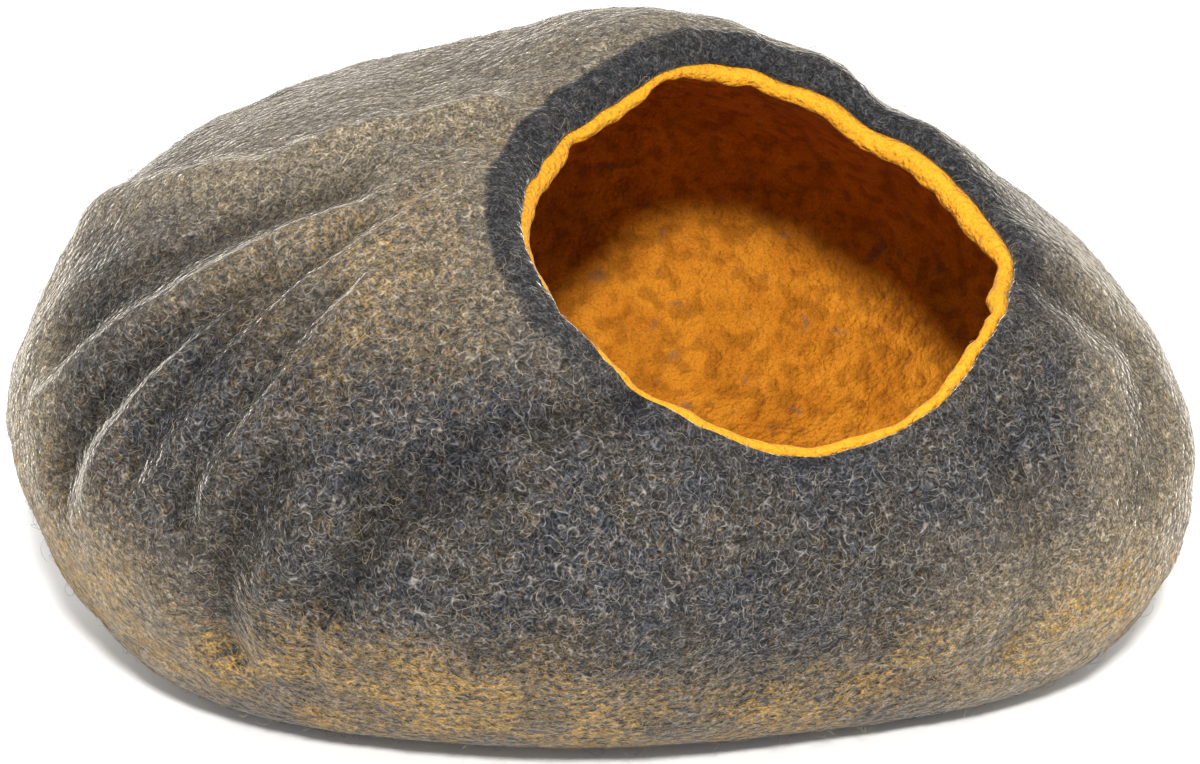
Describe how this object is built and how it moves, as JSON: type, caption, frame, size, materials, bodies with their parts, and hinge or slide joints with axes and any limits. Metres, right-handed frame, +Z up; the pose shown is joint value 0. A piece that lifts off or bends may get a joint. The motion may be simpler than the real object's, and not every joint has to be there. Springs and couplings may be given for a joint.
{
  "type": "cat cave bed",
  "caption": "Hollow rounded cat bed of thick charcoal wool felt, lined in ochre felt that rolls over the edge of one slanted opening.",
  "frame": {"origin": "centre of the bounding box, at the height of the flat underside that rests on the floor", "axes": "+X along the cave's long side to the right as seen from the opening, +Y to the back, +Z up; the opening faces -Y and up"},
  "size_m": [0.4824, 0.4176, 0.2526],
  "materials": {
    "charcoal_felt": "matt wool felt in mixed charcoal, with pale and ochre fibres",
    "ochre_felt": "matt wool felt in bright ochre"
  },
  "bodies": {
    "root": {"outer_felt": "charcoal_felt", "inner_felt": "ochre_felt"}
  },
  "joints": []
}
